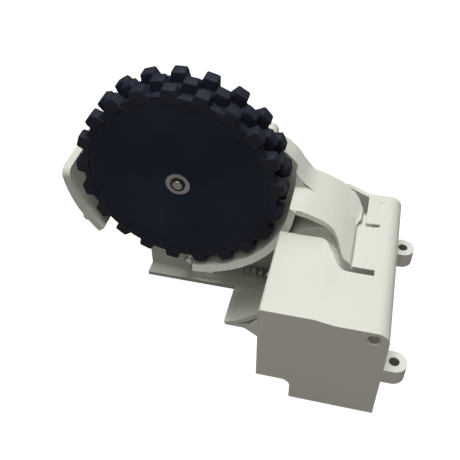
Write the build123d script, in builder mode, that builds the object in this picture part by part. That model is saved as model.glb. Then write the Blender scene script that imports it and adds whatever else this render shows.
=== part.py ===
from build123d import *
import os
from math import acos, atan2, cos, hypot, pi, radians, sin, tan

# Drive wheel module of a robot vacuum, drawn with the robot's underside up.
# A fixed housing carries two screw ears and a hinge pin. An arm swings on the pin
# and holds a geared motor, a mudguard and a 70 mm wheel with three rows of lugs.
# An extension spring in the housing's trough pulls the arm out.
# X runs from the wheel to the ears, Y from the near wall to the far wall, Z up.
# The origin is midway between the two ear holes, on the ears' top faces.

# Depth of the housing: most other depths follow from it
HOUSING_DEPTH = 61.0

# Ears
EAR_SPACING = HOUSING_DEPTH - 11.0
EAR_DEPTH = 4.0
EAR_HOLE_R = 1.6
EAR_R = 3.9
EAR_THICK = 6.0
EAR_REACH = 7.6
EAR_DROP = 13.0

# Housing
WALL = 2.0
SKIN = 1.8
THIN_SKIN = 0.8
BOX_DEPTH = HOUSING_DEPTH - 27.0
BOX_LEFT = -33.8
BOX_RIGHT = 4.6
HIGH_TOP = 4.4
LOW_TOP = 3.3
SLOPE_START = -17.5
SLOPE_END = -11.5
TOP_CORNER_R = 4.2
EDGE_R = 0.8
SKIN_RAMP = (0.9, 1.6)
FUSE = 0.5
STEP_LEVEL = -27.5
STEP_X = -22.7
STEP_R = 3.0
BOX_FLOOR = -36.5
BASE_LEVEL = -50.5
FLOOR_THICK = 1.8
TROUGH_LEFT = -90.0
TROUGH_DEPTH = HOUSING_DEPTH - 7.6
WELL_NEAR = BOX_DEPTH + 1.0
WELL_RIGHT = -53.3
SCOOP_RIGHT = -30.0
SCOOP_TOP = -24.0
SCOOP_GAP = 0.9
WEB_SET_BACK = 8.0
FAR_WALL_HIGH = 6.6
FAR_WALL_END = -14.3
PANEL_B_X = -9.2
PANEL_B_NEAR = BOX_DEPTH - 9.4
PANEL_GAP_NEAR = HOUSING_DEPTH - 16.6
PANEL_GAP_FAR = PANEL_GAP_NEAR + 1.4
PANEL_GAP_TAPER = 1.3
COVER_EDGE_LEFT = -20.7
PANEL_A_X = -6.8
STRIP_X = -2.2
SLOT_NEAR = BOX_DEPTH - 11.9
RECESS_SIZE = (1.3, 10.0)
RECESS_DEEP = 0.3

# Hinge
PIN_R = 1.25
PIN_FIT = 0.05
PIN_EDGE = 0.2
PIN_RECESS_R = 2.0
PIN_RECESS = 0.8
KNUCKLE_R = 2.35
KNUCKLE_GAP = 0.3
HINGE_BOSS_R = 3.2

# Arm and wheel
ARM_LENGTH = 70.0
ARM_ANGLE = 13.3
ARM_TRAVEL = 23.5
WHEEL_R = 35.0
LUG_HEIGHT = 3.6
LUG_COUNT = 21
LUG_PHASE = 126.0
LUG_TIP = 4.3
LUG_BASE = 6.4
LUG_SINK = 0.1
LUG_EDGE = 0.8
LUG_EDGE_IN = 0.6
LUG_EDGE_OUT = 0.25
LUG_ROW = 4.5
LUG_ROW_GAP = 0.65
LUG_ROWS = 3
TYRE_NEAR = BOX_DEPTH + 1.6
SHOULDER = 1.3
SHOULDER_WIDE = 1.4
TYRE_LIP = 0.4
TYRE_WALL = 3.0
DISC_R = WHEEL_R - LUG_HEIGHT - 0.2
DISC_RECESS = 0.5
DISC_THICK = 1.8
DISC_EDGE = 0.3
RIM_THICK = 1.8
HUB_GAP = 1.2
SPOKE_COUNT = 6
SPOKE_THICK = 1.4
SPOKE_DEPTH = 8.0
HUB_BOSS_R = 5.5
AXLE_R = 2.5
AXLE_TIP_R = 1.75
AXLE_FIT = 0.05
AXLE_PROUD = 0.3
AXLE_EDGE = 0.2
AXLE_SHORT = 0.3
WASHER_R = 4.1
WASHER_THICK = 0.5
RING_THICK = 0.4
BUSH_R = 4.5
BUSH_FLANGE_R = 5.4
BUSH_FLANGE = 0.8

# Arm casing and its mudguard
GEARBOX_DEPTH = 7.6
COVER_FAR = HOUSING_DEPTH - WALL - 0.2
COVER_THICK = 1.6
PLATE_NEAR = COVER_FAR - GEARBOX_DEPTH
PLATE_THICK = 1.6
GUARD_NEAR = TYRE_NEAR - 1.0
GUARD_WALL = 2.2
GUARD_GAP = 1.9
GUARD_START = -85.0
GUARD_END = -4.8
FRONT_GUARD_START = 180.5
FRONT_GUARD_CORNER = 3.2
FRONT_GUARD_END = 221.0
FRONT_GUARD_GAP = 2.6
FRONT_GUARD_WALL = 2.8
GUARD_RIB = (1.6, 2.0)
GUARD_RIB_AT = -75.0
FRONT_GUARD_RIB = (1.4, 2.0)
FRONT_GUARD_RIB_AT = 211.0
CASING_MARGIN = 2.0
RIM_WALL = 1.2
ARM_SKIN = 1.7
ARM_CLEAR = 0.4
ARM_CUT_LOW = -4.0
ARM_CUT_HIGH = 20.0
KNUCKLE_ROOM = 9.0
PLATE_HOLE_R = 10.0
SHELL_LEFT = -27.7
SHELL_HIGH = 13.0
HUMP_NEAR = PLATE_NEAR - 4.2
LEDGE_NEAR = BOX_DEPTH + 1.4
LEDGE_LEFT = -32.4
LEDGE_THICK = 3.0
LIP_CUT_LEFT = -32.0
CORNER_X = -7.9
CORNER_NEAR = PANEL_GAP_FAR + ARM_CLEAR
CORNER_CURVE = ((-7.4, 10.0), (-9.4, 7.5), (-10.4, 5.5), (-12.2, 3.8), (-14.3, 1.8))

# Motor
MOTOR_X = -16.5
MOTOR_Z = -11.0
MOTOR_R = 10.8
MOTOR_SHAFT_R = 1.0
MOTOR_BOSS_R = 2.8
MOTOR_BOSS_FIT = 0.2
MOTOR_EDGE = 0.6
SHAFT_PROUD = 0.2
MAGNET_GAP = 0.4
END_CAP_EDGE = 1.2
END_CAP_SMALLER = 0.3
TERMINAL_X = 6.0
TERMINAL_PROUD = 2.5
SLEEVE_WALL = 1.1
SLEEVE_FIT = 0.1
SLEEVE_NEAR = WALL + 8.0
END_CAP_THICK = 3.0
MAGNET_R = 4.0
MAGNET_THICK = 2.5
BOARD_NEAR = SLEEVE_NEAR + 5.6
BOARD_THICK = 1.0
MOTOR_LENGTH = PLATE_NEAR - BOARD_NEAR - BOARD_THICK - END_CAP_THICK - MAGNET_THICK - 3.1

# Gears
MODULE = 0.7
LAST_MODULE = 0.75
PINION_TEETH = 10
FIRST_TEETH = 40
FIRST_SMALL_TEETH = 12
SECOND_TEETH = 45
SECOND_SMALL_TEETH = 12
OUTPUT_TEETH = 48
BACKLASH = 0.22
ADDENDUM = 0.8
DEDENDUM = 1.25
FLANK_START = 0.1
PRESSURE_ANGLE = 20.0
GEAR_WIDTH = 1.7
GEAR_GAP = 0.25
GEAR_PIN_R = 1.0
GEAR_FIT = 0.05
PIN_SEAT = 0.6
FIRST_HUB_R = 2.6
SECOND_HUB_R = 2.8
OUTPUT_HUB_R = 4.0
TRAIN_BEND = -8.0

# Spring
SPRING_DEPTH = HOUSING_DEPTH - 4.6
SPRING_R = 1.9
WIRE_R = 0.35
SPRING_TURNS = 20
SPRING_PITCH = 1.35
COIL_SIDES = 12
WIRE_SIDES = 4
POST_R = 1.5
POST_BEYOND = 0.6
POST_X = -73.0
POST_Z = -41.5
LEVER_X = -19.0
LEVER_END_R = 2.6
LEVER_Z = -41.0

# Small parts
SCREW_R = 1.1
SCREW_HEAD_R = 2.1
SCREW_HEAD = 1.2
SCREW_GRIP = 4.0
SCREW_BOSS_R = 2.6
SWITCH_SIZE = (12.8, 5.8, 6.5)
CLEAR = 0.15
PLUNGER_LONG = 2.6
PLUNGER_SHIFT = 2.5
PLUNGER_WIDE = 1.4
PLUNGER_FIT = 0.08
PLUNGER_POCKET = 2.2
PLUNGER_PROUD = 0.9
PLUNGER_TRAVEL = 0.6
TERMINAL_WIDE = 2.4
TERMINAL_THICK = 0.6

# The hinge axis and the near wall, in the module's frame
HINGE_X = -EAR_REACH
HINGE_Z = EAR_DROP
NEAR_Y = -EAR_DEPTH - EAR_SPACING / 2
WHEEL_DX = -ARM_LENGTH * cos(radians(ARM_ANGLE))
WHEEL_DZ = ARM_LENGTH * sin(radians(ARM_ANGLE))


def side(depth):
    """A plane seen from the near side: local x is X and local y is Z, from the hinge axis."""
    return Plane(origin=(HINGE_X, NEAR_Y + depth, HINGE_Z), x_dir=(1, 0, 0), z_dir=(0, -1, 0))


def wheel_side(depth):
    """The same plane, centred on the wheel."""
    return Plane(
        origin=(HINGE_X + WHEEL_DX, NEAR_Y + depth, HINGE_Z + WHEEL_DZ), x_dir=(1, 0, 0), z_dir=(0, -1, 0)
    )


def plan(height):
    """A plane seen from above: local x is X from the hinge, local y is depth from the near wall."""
    return Plane(origin=(HINGE_X, NEAR_Y, HINGE_Z + height), x_dir=(1, 0, 0), z_dir=(0, 0, 1))


def turn(points, dx, dz):
    """Revolves an outline of (depth, radius) points about an axis along Y through (dx, dz)."""
    centre = (HINGE_X + dx, NEAR_Y, HINGE_Z + dz)
    with BuildSketch(Plane(origin=centre, x_dir=(0, 1, 0), z_dir=(1, 0, 0))) as profile:
        Polygon(*points, align=None)
    revolve(profile.sketch, axis=Axis(centre, (0, 1, 0)))


def outline(points):
    """A closed face with straight sides, in the sketch that is open."""
    Polygon(*points, align=None)


def corners_at(sketch, x, z):
    """The corners of a sketch on a side plane that stand at (x, z)."""
    return [v for v in sketch.vertices() if abs(v.X - x) < 0.01 and abs(v.Y - z) < 0.01]


def ring_sector(inner, outer, start, end):
    """A piece of a flat ring between two angles, in degrees, about the sketch's origin."""
    a, b = radians(start), radians(end)
    m = (a + b) / 2
    with BuildLine() as rim:
        ThreePointArc(*[(outer * cos(t), outer * sin(t)) for t in (a, m, b)])
        Line((outer * cos(b), outer * sin(b)), (inner * cos(b), inner * sin(b)))
        ThreePointArc(*[(inner * cos(t), inner * sin(t)) for t in (b, m, a)])
        Line((inner * cos(a), inner * sin(a)), (outer * cos(a), outer * sin(a)))
    make_face(rim.edges())


def corner_between(a, b, from_a, from_b):
    """The point to the right of the way from a to b, from_a away from a and from_b away from b."""
    span = hypot(b[0] - a[0], b[1] - a[1])
    lean = acos((from_a**2 + span**2 - from_b**2) / (2 * from_a * span))
    heading = atan2(b[1] - a[1], b[0] - a[0]) - lean
    return a[0] + from_a * cos(heading), a[1] + from_a * sin(heading)


def bearing(a, b):
    """The direction from a to b, in radians."""
    return atan2(b[1] - a[1], b[0] - a[0])


def gear_points(module, teeth, first_tooth):
    """The outline of a spur gear with involute flanks; first_tooth is one tooth's direction in radians."""
    pitch_r = module * teeth / 2
    base_r = pitch_r * cos(radians(PRESSURE_ANGLE))
    root_r = pitch_r - DEDENDUM * module
    tip_r = pitch_r + ADDENDUM * module
    low_r = max(base_r, root_r)
    half = pi / 2 / teeth - BACKLASH / 2 / pitch_r

    def flank(r):
        spread = lambda q: tan(q) - q
        at = acos(min(1.0, base_r / max(r, base_r)))
        return half + spread(radians(PRESSURE_ANGLE)) - spread(at)

    radii = [root_r, low_r + FLANK_START * module, pitch_r, tip_r]
    points = []
    for tooth in range(teeth):
        centre = first_tooth + 2 * pi * tooth / teeth
        for r in radii:
            points.append((r * cos(centre - flank(r)), r * sin(centre - flank(r))))
        for r in reversed(radii):
            points.append((r * cos(centre + flank(r)), r * sin(centre + flank(r))))
    return points


def spur(module, teeth, first_tooth, at, depth):
    """A toothed disc, GEAR_WIDTH thick, from depth towards the far side."""
    with BuildSketch(side(depth)) as toothed:
        Polygon(*[(at[0] + x, at[1] + z) for x, z in gear_points(module, teeth, first_tooth)], align=None)
    extrude(toothed.sketch, amount=-GEAR_WIDTH)


def bore(at, radius, near, far):
    """Cuts a round hole along Y through what is built so far."""
    with BuildSketch(side(near)) as hole:
        with Locations(at):
            Circle(radius)
    extrude(hole.sketch, amount=-(far - near), mode=Mode.SUBTRACT)


def finish(build, label):
    build.part.label = label
    export_step(build.part, "parts/" + label + ".step")


os.makedirs("parts", exist_ok=True)

# Places of the gear train's axes, from the hinge
WHEEL_AT = (WHEEL_DX, WHEEL_DZ)
MOTOR_AT = (MOTOR_X, MOTOR_Z)
CENTRES_1 = MODULE * (PINION_TEETH + FIRST_TEETH) / 2
CENTRES_2 = MODULE * (FIRST_SMALL_TEETH + SECOND_TEETH) / 2
CENTRES_3 = LAST_MODULE * (SECOND_SMALL_TEETH + OUTPUT_TEETH) / 2
to_motor = bearing(WHEEL_AT, MOTOR_AT) - radians(TRAIN_BEND)
SECOND_AT = (WHEEL_DX + CENTRES_3 * cos(to_motor), WHEEL_DZ + CENTRES_3 * sin(to_motor))
FIRST_AT = corner_between(SECOND_AT, MOTOR_AT, CENTRES_2, CENTRES_1)

# Depths of the two gear layers between the arm's plate and its cover
NEAR_LAYER = PLATE_NEAR + PLATE_THICK + GEAR_GAP
FAR_LAYER = COVER_FAR - COVER_THICK - GEAR_GAP - GEAR_WIDTH
MOTOR_FAR = PLATE_NEAR
TYRE_FAR = TYRE_NEAR + LUG_ROWS * LUG_ROW + (LUG_ROWS - 1) * LUG_ROW_GAP
BASE_R = WHEEL_R - LUG_HEIGHT
GUARD_R = WHEEL_R + GUARD_GAP
FRONT_GUARD_R = WHEEL_R + FRONT_GUARD_GAP
SCOOP_R = GUARD_R + GUARD_WALL + SCOOP_GAP
stowed = radians(ARM_ANGLE - ARM_TRAVEL)
SCOOP_AT = (-ARM_LENGTH * cos(stowed), ARM_LENGTH * sin(stowed))
DISC_FACE = TYRE_NEAR + DISC_RECESS
RIM_R = BASE_R - TYRE_WALL
AXLE_NEAR = DISC_FACE - WASHER_THICK - RING_THICK - AXLE_PROUD
gear_room = [
    (WHEEL_AT, LAST_MODULE * (OUTPUT_TEETH / 2 + 1)),
    (SECOND_AT, MODULE * (SECOND_TEETH / 2 + 1)),
    (FIRST_AT, MODULE * (FIRST_TEETH / 2 + 1)),
    (MOTOR_AT, MODULE * (PINION_TEETH / 2 + 1) + 2),
]
SCREWS_AT = [
    (at[0] + (r + CASING_MARGIN) * cos(radians(turned)), at[1] + (r + CASING_MARGIN) * sin(radians(turned)))
    for (at, r), turned in ((gear_room[0], 70), (gear_room[0], 165), (gear_room[0], 255),
                            (gear_room[1], 240), (gear_room[2], 285), (gear_room[1], 75))
]
SWITCH_AT = (-4.0, -34.0)

# Housing: the box at the near side, its skin stepped in the middle
box_outer = [
    (BOX_LEFT, STEP_LEVEL),
    (BOX_LEFT, HIGH_TOP),
    (SLOPE_START, HIGH_TOP),
    (SLOPE_END, LOW_TOP),
    (BOX_RIGHT, LOW_TOP),
    (BOX_RIGHT, BOX_FLOOR),
    (STEP_X, BOX_FLOOR),
    (STEP_X, STEP_LEVEL),
]
right_profile = [
    (STRIP_X, LOW_TOP),
    (BOX_RIGHT, LOW_TOP),
    (BOX_RIGHT, BASE_LEVEL),
    (BOX_RIGHT - WALL, BASE_LEVEL),
    (BOX_RIGHT - WALL, LOW_TOP - THIN_SKIN - SKIN_RAMP[1]),
    (BOX_RIGHT - WALL - SKIN_RAMP[0], LOW_TOP - THIN_SKIN),
    (STRIP_X, LOW_TOP - THIN_SKIN),
]
with BuildPart() as base_housing:
    # solid box with rounded vertical step and top right edge
    with BuildSketch(side(0)) as box_sketch:
        outline(box_outer)
        fillet(corners_at(box_sketch, STEP_X, STEP_LEVEL), STEP_R)
        fillet(corners_at(box_sketch, BOX_LEFT, HIGH_TOP), EDGE_R)
        fillet(corners_at(box_sketch, STEP_X, BOX_FLOOR), EDGE_R)
    extrude(amount=-BOX_DEPTH)
    # its inside, open towards the arm
    with BuildSketch(side(WALL)):
        outline([
            (BOX_LEFT + WALL, STEP_LEVEL + WALL),
            (BOX_LEFT + WALL, HIGH_TOP - SKIN),
            (SLOPE_START, HIGH_TOP - SKIN),
            (SLOPE_END, LOW_TOP - SKIN),
            (-KNUCKLE_R - 1.4, LOW_TOP - SKIN),
            (-KNUCKLE_R - 0.2, LOW_TOP - THIN_SKIN),
            (BOX_RIGHT - WALL - SKIN_RAMP[0], LOW_TOP - THIN_SKIN),
            (BOX_RIGHT - WALL, LOW_TOP - THIN_SKIN - SKIN_RAMP[1]),
            (BOX_RIGHT - WALL, BOX_FLOOR + WALL),
            (STEP_X + WALL, BOX_FLOOR + WALL),
            (STEP_X + WALL, STEP_LEVEL + WALL),
        ])
    extrude(amount=-(BOX_DEPTH - WALL), mode=Mode.SUBTRACT)
    # the cover's far edge sweeps round the arm in an S
    with BuildSketch(plan(-WALL)):
        with BuildLine():
            edge = Spline(
                (COVER_EDGE_LEFT, BOX_DEPTH),
                (-17.0, BOX_DEPTH - 3.0),
                (-14.6, BOX_DEPTH - 8.1),
                (PANEL_B_X, SLOT_NEAR),
                tangents=[(1, 0), (1, 0)],
            )
            Line(edge @ 1, (STRIP_X, SLOT_NEAR))
            Line((STRIP_X, SLOT_NEAR), (STRIP_X, BOX_DEPTH + 1))
            Line((STRIP_X, BOX_DEPTH + 1), (COVER_EDGE_LEFT, BOX_DEPTH + 1))
            Line((COVER_EDGE_LEFT, BOX_DEPTH + 1), edge @ 0)
        make_face()
    extrude(amount=HIGH_TOP + 2 * WALL, mode=Mode.SUBTRACT)
    # side wall and its rounded top edge, the full depth
    with BuildSketch(side(BOX_DEPTH - WALL)):
        outline(right_profile)
    extrude(amount=-(HOUSING_DEPTH - BOX_DEPTH))
    # panels over the hinge, with a tapered gap between them
    with BuildSketch(plan(LOW_TOP)):
        outline([(PANEL_B_X, PANEL_B_NEAR), (STRIP_X + FUSE, PANEL_B_NEAR), (STRIP_X + FUSE, PANEL_GAP_NEAR),
                 (PANEL_B_X, PANEL_GAP_NEAR - PANEL_GAP_TAPER)])
        outline([(PANEL_A_X, PANEL_GAP_FAR - 0.3), (STRIP_X + FUSE, PANEL_GAP_FAR),
                 (STRIP_X + FUSE, HOUSING_DEPTH - WALL), (PANEL_A_X, HOUSING_DEPTH - WALL)])
    extrude(amount=-THIN_SKIN)
    with BuildSketch(plan(LOW_TOP)):
        with Locations((STRIP_X, (PANEL_GAP_FAR + HOUSING_DEPTH - WALL) / 2 - 0.4)):
            Rectangle(*RECESS_SIZE)
    extrude(amount=-RECESS_DEEP, mode=Mode.SUBTRACT)
    # far wall, from the strip down to the trough behind the wheel
    with BuildSketch(side(HOUSING_DEPTH - WALL)):
        outline([
            (BOX_RIGHT, BASE_LEVEL),
            (BOX_RIGHT, LOW_TOP),
            (PANEL_A_X, LOW_TOP),
            (FAR_WALL_END, FAR_WALL_HIGH),
            (FAR_WALL_END - 2, FAR_WALL_HIGH - 1.5),
            (-32.0, -14.0),
            (-60.0, -29.0),
            (TROUGH_LEFT + 3, -33.0),
            (TROUGH_LEFT, -36.0),
            (TROUGH_LEFT, BASE_LEVEL),
        ])
    extrude(amount=-WALL)
    # floor under the arm and the trough
    with BuildSketch(plan(BASE_LEVEL)):
        outline([
            (TROUGH_LEFT, TROUGH_DEPTH),
            (WELL_RIGHT, TROUGH_DEPTH),
            (WELL_RIGHT, WELL_NEAR),
            (BOX_RIGHT, WELL_NEAR),
            (BOX_RIGHT, HOUSING_DEPTH),
            (TROUGH_LEFT, HOUSING_DEPTH),
        ])
    extrude(amount=FLOOR_THICK)
    # scoop that clears the mudguard when the arm is stowed
    with BuildSketch(side(WELL_NEAR)):
        with Locations(SCOOP_AT):
            Circle(SCOOP_R + WALL)
            Circle(SCOOP_R, mode=Mode.SUBTRACT)
        with Locations(((WELL_RIGHT + SCOOP_RIGHT) / 2, (BASE_LEVEL + SCOOP_TOP) / 2)):
            Rectangle(SCOOP_RIGHT - WELL_RIGHT, SCOOP_TOP - BASE_LEVEL, mode=Mode.INTERSECT)
    extrude(amount=-(PLATE_NEAR - ARM_CLEAR - WELL_NEAR))
    # upright web that joins the box to the deeper floor
    with BuildSketch(side(BOX_DEPTH - WALL)):
        outline([
            (WELL_RIGHT + WEB_SET_BACK, BASE_LEVEL),
            (BOX_RIGHT, BASE_LEVEL),
            (BOX_RIGHT, BOX_FLOOR + WALL),
            (STEP_X + WALL, BOX_FLOOR + WALL),
            (STEP_X + WALL, STEP_LEVEL + WALL),
            (SCOOP_RIGHT, STEP_LEVEL + WALL),
            (SCOOP_RIGHT, -30.0),
        ])
        with Locations(SCOOP_AT):
            Circle(SCOOP_R + WALL / 2, mode=Mode.SUBTRACT)
    extrude(amount=-2 * WALL)
    # hinge bosses: near wall, rib beside the slot, rib in the panel gap, far wall
    for near, far in ((0, WALL + 1), (SLOT_NEAR - WALL, SLOT_NEAR),
                      (PANEL_GAP_NEAR, PANEL_GAP_FAR), (HOUSING_DEPTH - WALL, HOUSING_DEPTH)):
        with BuildSketch(side(near)):
            Circle(HINGE_BOSS_R)
            with Locations(((BOX_RIGHT - WALL / 2) / 2, -HINGE_BOSS_R / 2)):
                Rectangle(BOX_RIGHT - WALL / 2, HINGE_BOSS_R)
        extrude(amount=-(far - near))
    bore((0, 0), PIN_R, 0, HOUSING_DEPTH - WALL / 2)
    bore((0, 0), PIN_RECESS_R, 0, PIN_RECESS)
    # post for the spring on the far wall
    with BuildSketch(side(SPRING_DEPTH - SPRING_R - POST_BEYOND)):
        with Locations((POST_X, POST_Z)):
            Circle(POST_R)
    extrude(amount=-(HOUSING_DEPTH - WALL - SPRING_DEPTH + SPRING_R + POST_BEYOND))
    # rounded top edge over the side wall
    with BuildSketch(side(0)):
        with Locations((BOX_RIGHT, LOW_TOP)):
            Rectangle(2 * TOP_CORNER_R, 2 * TOP_CORNER_R)
        with Locations((BOX_RIGHT - TOP_CORNER_R, LOW_TOP - TOP_CORNER_R)):
            Circle(TOP_CORNER_R, mode=Mode.SUBTRACT)
            Rectangle(4 * TOP_CORNER_R, 2 * TOP_CORNER_R, align=(Align.CENTER, Align.MAX), mode=Mode.SUBTRACT)
            Rectangle(2 * TOP_CORNER_R, 4 * TOP_CORNER_R, align=(Align.MAX, Align.CENTER), mode=Mode.SUBTRACT)
    extrude(amount=-HOUSING_DEPTH, mode=Mode.SUBTRACT)
    # screw ears on the side wall
    with BuildSketch(Plane.XY):
        for sign in (-1, 1):
            with Locations((0, sign * EAR_SPACING / 2)):
                Circle(EAR_R)
            with Locations(((BOX_RIGHT + HINGE_X - FUSE) / 2, sign * EAR_SPACING / 2)):
                Rectangle(FUSE - BOX_RIGHT - HINGE_X, 2 * EAR_R)
    extrude(amount=-EAR_THICK)
    with BuildSketch(Plane.XY):
        for sign in (-1, 1):
            with Locations((0, sign * EAR_SPACING / 2)):
                Circle(EAR_HOLE_R)
    extrude(amount=-EAR_THICK, mode=Mode.SUBTRACT)
finish(base_housing, "base_housing")

with BuildPart() as hinge_pin:
    turn([(PIN_RECESS, 0), (PIN_RECESS, PIN_R - PIN_EDGE), (PIN_RECESS + PIN_EDGE, PIN_R),
          (HOUSING_DEPTH - WALL / 2, PIN_R), (HOUSING_DEPTH - WALL / 2, 0)], 0, 0)
finish(hinge_pin, "hinge_pin")

# Arm casing: gear plate, shell over the motor, knuckles and mudguard
shell_top = [(SHELL_LEFT, SHELL_HIGH), (-24.8, 12.1), (-21.2, 10.8), (-17.5, 9.2), (FAR_WALL_END, 7.3),
             (-11.8, 5.4), (-10.4, 4.3), (-9.6, 3.2), (-9.45, 1.9)]
shell_band = [
    *shell_top,
    (0, 1.9),
    (0, -1.9),
    (-8.0, -1.0),
    (-10.9, -0.2),
    (-11.4, 2.4),
    (-13.0, 4.6),
    (-15.3, 5.9),
    (-18.2, 7.5),
    (-21.9, 9.1),
    (-25.3, 10.4),
    (SHELL_LEFT - 2.5, SHELL_HIGH - ARM_SKIN),
]
hump_top = [(-38.0, 23.0), (-36.1, 22.7), (-34.7, 22.2), (-33.3, 21.2), (-31.8, 19.4), (-30.3, 17.2),
            (-29.1, 15.1), (-28.4, 13.8)]
arm_top = [(-46.0, 24.0), *hump_top, *shell_top, (0, 1.9), (0, -1.9), (-8.0, -5.0), (-20.0, -12.0),
           (-46.0, 0.0)]


def casing_face(margin):
    """The gear casing's outline: a disc round each axis, joined by tapered bridges, and screw bosses."""
    for at, radius in gear_room:
        with Locations(at):
            Circle(radius + margin)
    if margin == CASING_MARGIN:
        with Locations(*SCREWS_AT):
            Circle(SCREW_BOSS_R)
    for (a, ra), (b, rb) in zip(gear_room, gear_room[1:]):
        run = bearing(a, b)
        lean = acos((ra - rb) / hypot(b[0] - a[0], b[1] - a[1]))
        corners = []
        for turned in (lean, -lean):
            ends = [(p[0] + (r + margin) * cos(run + turned), p[1] + (r + margin) * sin(run + turned))
                    for p, r in ((a, ra), (b, rb))]
            corners += ends if turned > 0 else ends[::-1]
        outline(corners)


def clear_back_corner():
    """Cuts the arm back in a curve beside the far panel."""
    with BuildSketch(plan(ARM_CUT_LOW)) as corner:
        with BuildLine() as rim:
            edge = Spline(*[(x, HOUSING_DEPTH - short) for x, short in CORNER_CURVE])
            Line(edge @ 1, (BOX_RIGHT, HOUSING_DEPTH - CORNER_CURVE[-1][1]))
            Line((BOX_RIGHT, HOUSING_DEPTH - CORNER_CURVE[-1][1]),
                 (BOX_RIGHT, HOUSING_DEPTH - CORNER_CURVE[0][1]))
            Line((BOX_RIGHT, HOUSING_DEPTH - CORNER_CURVE[0][1]), edge @ 0)
        make_face(rim.edges())
    extrude(corner.sketch, amount=ARM_CUT_HIGH - ARM_CUT_LOW, mode=Mode.SUBTRACT)


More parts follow.
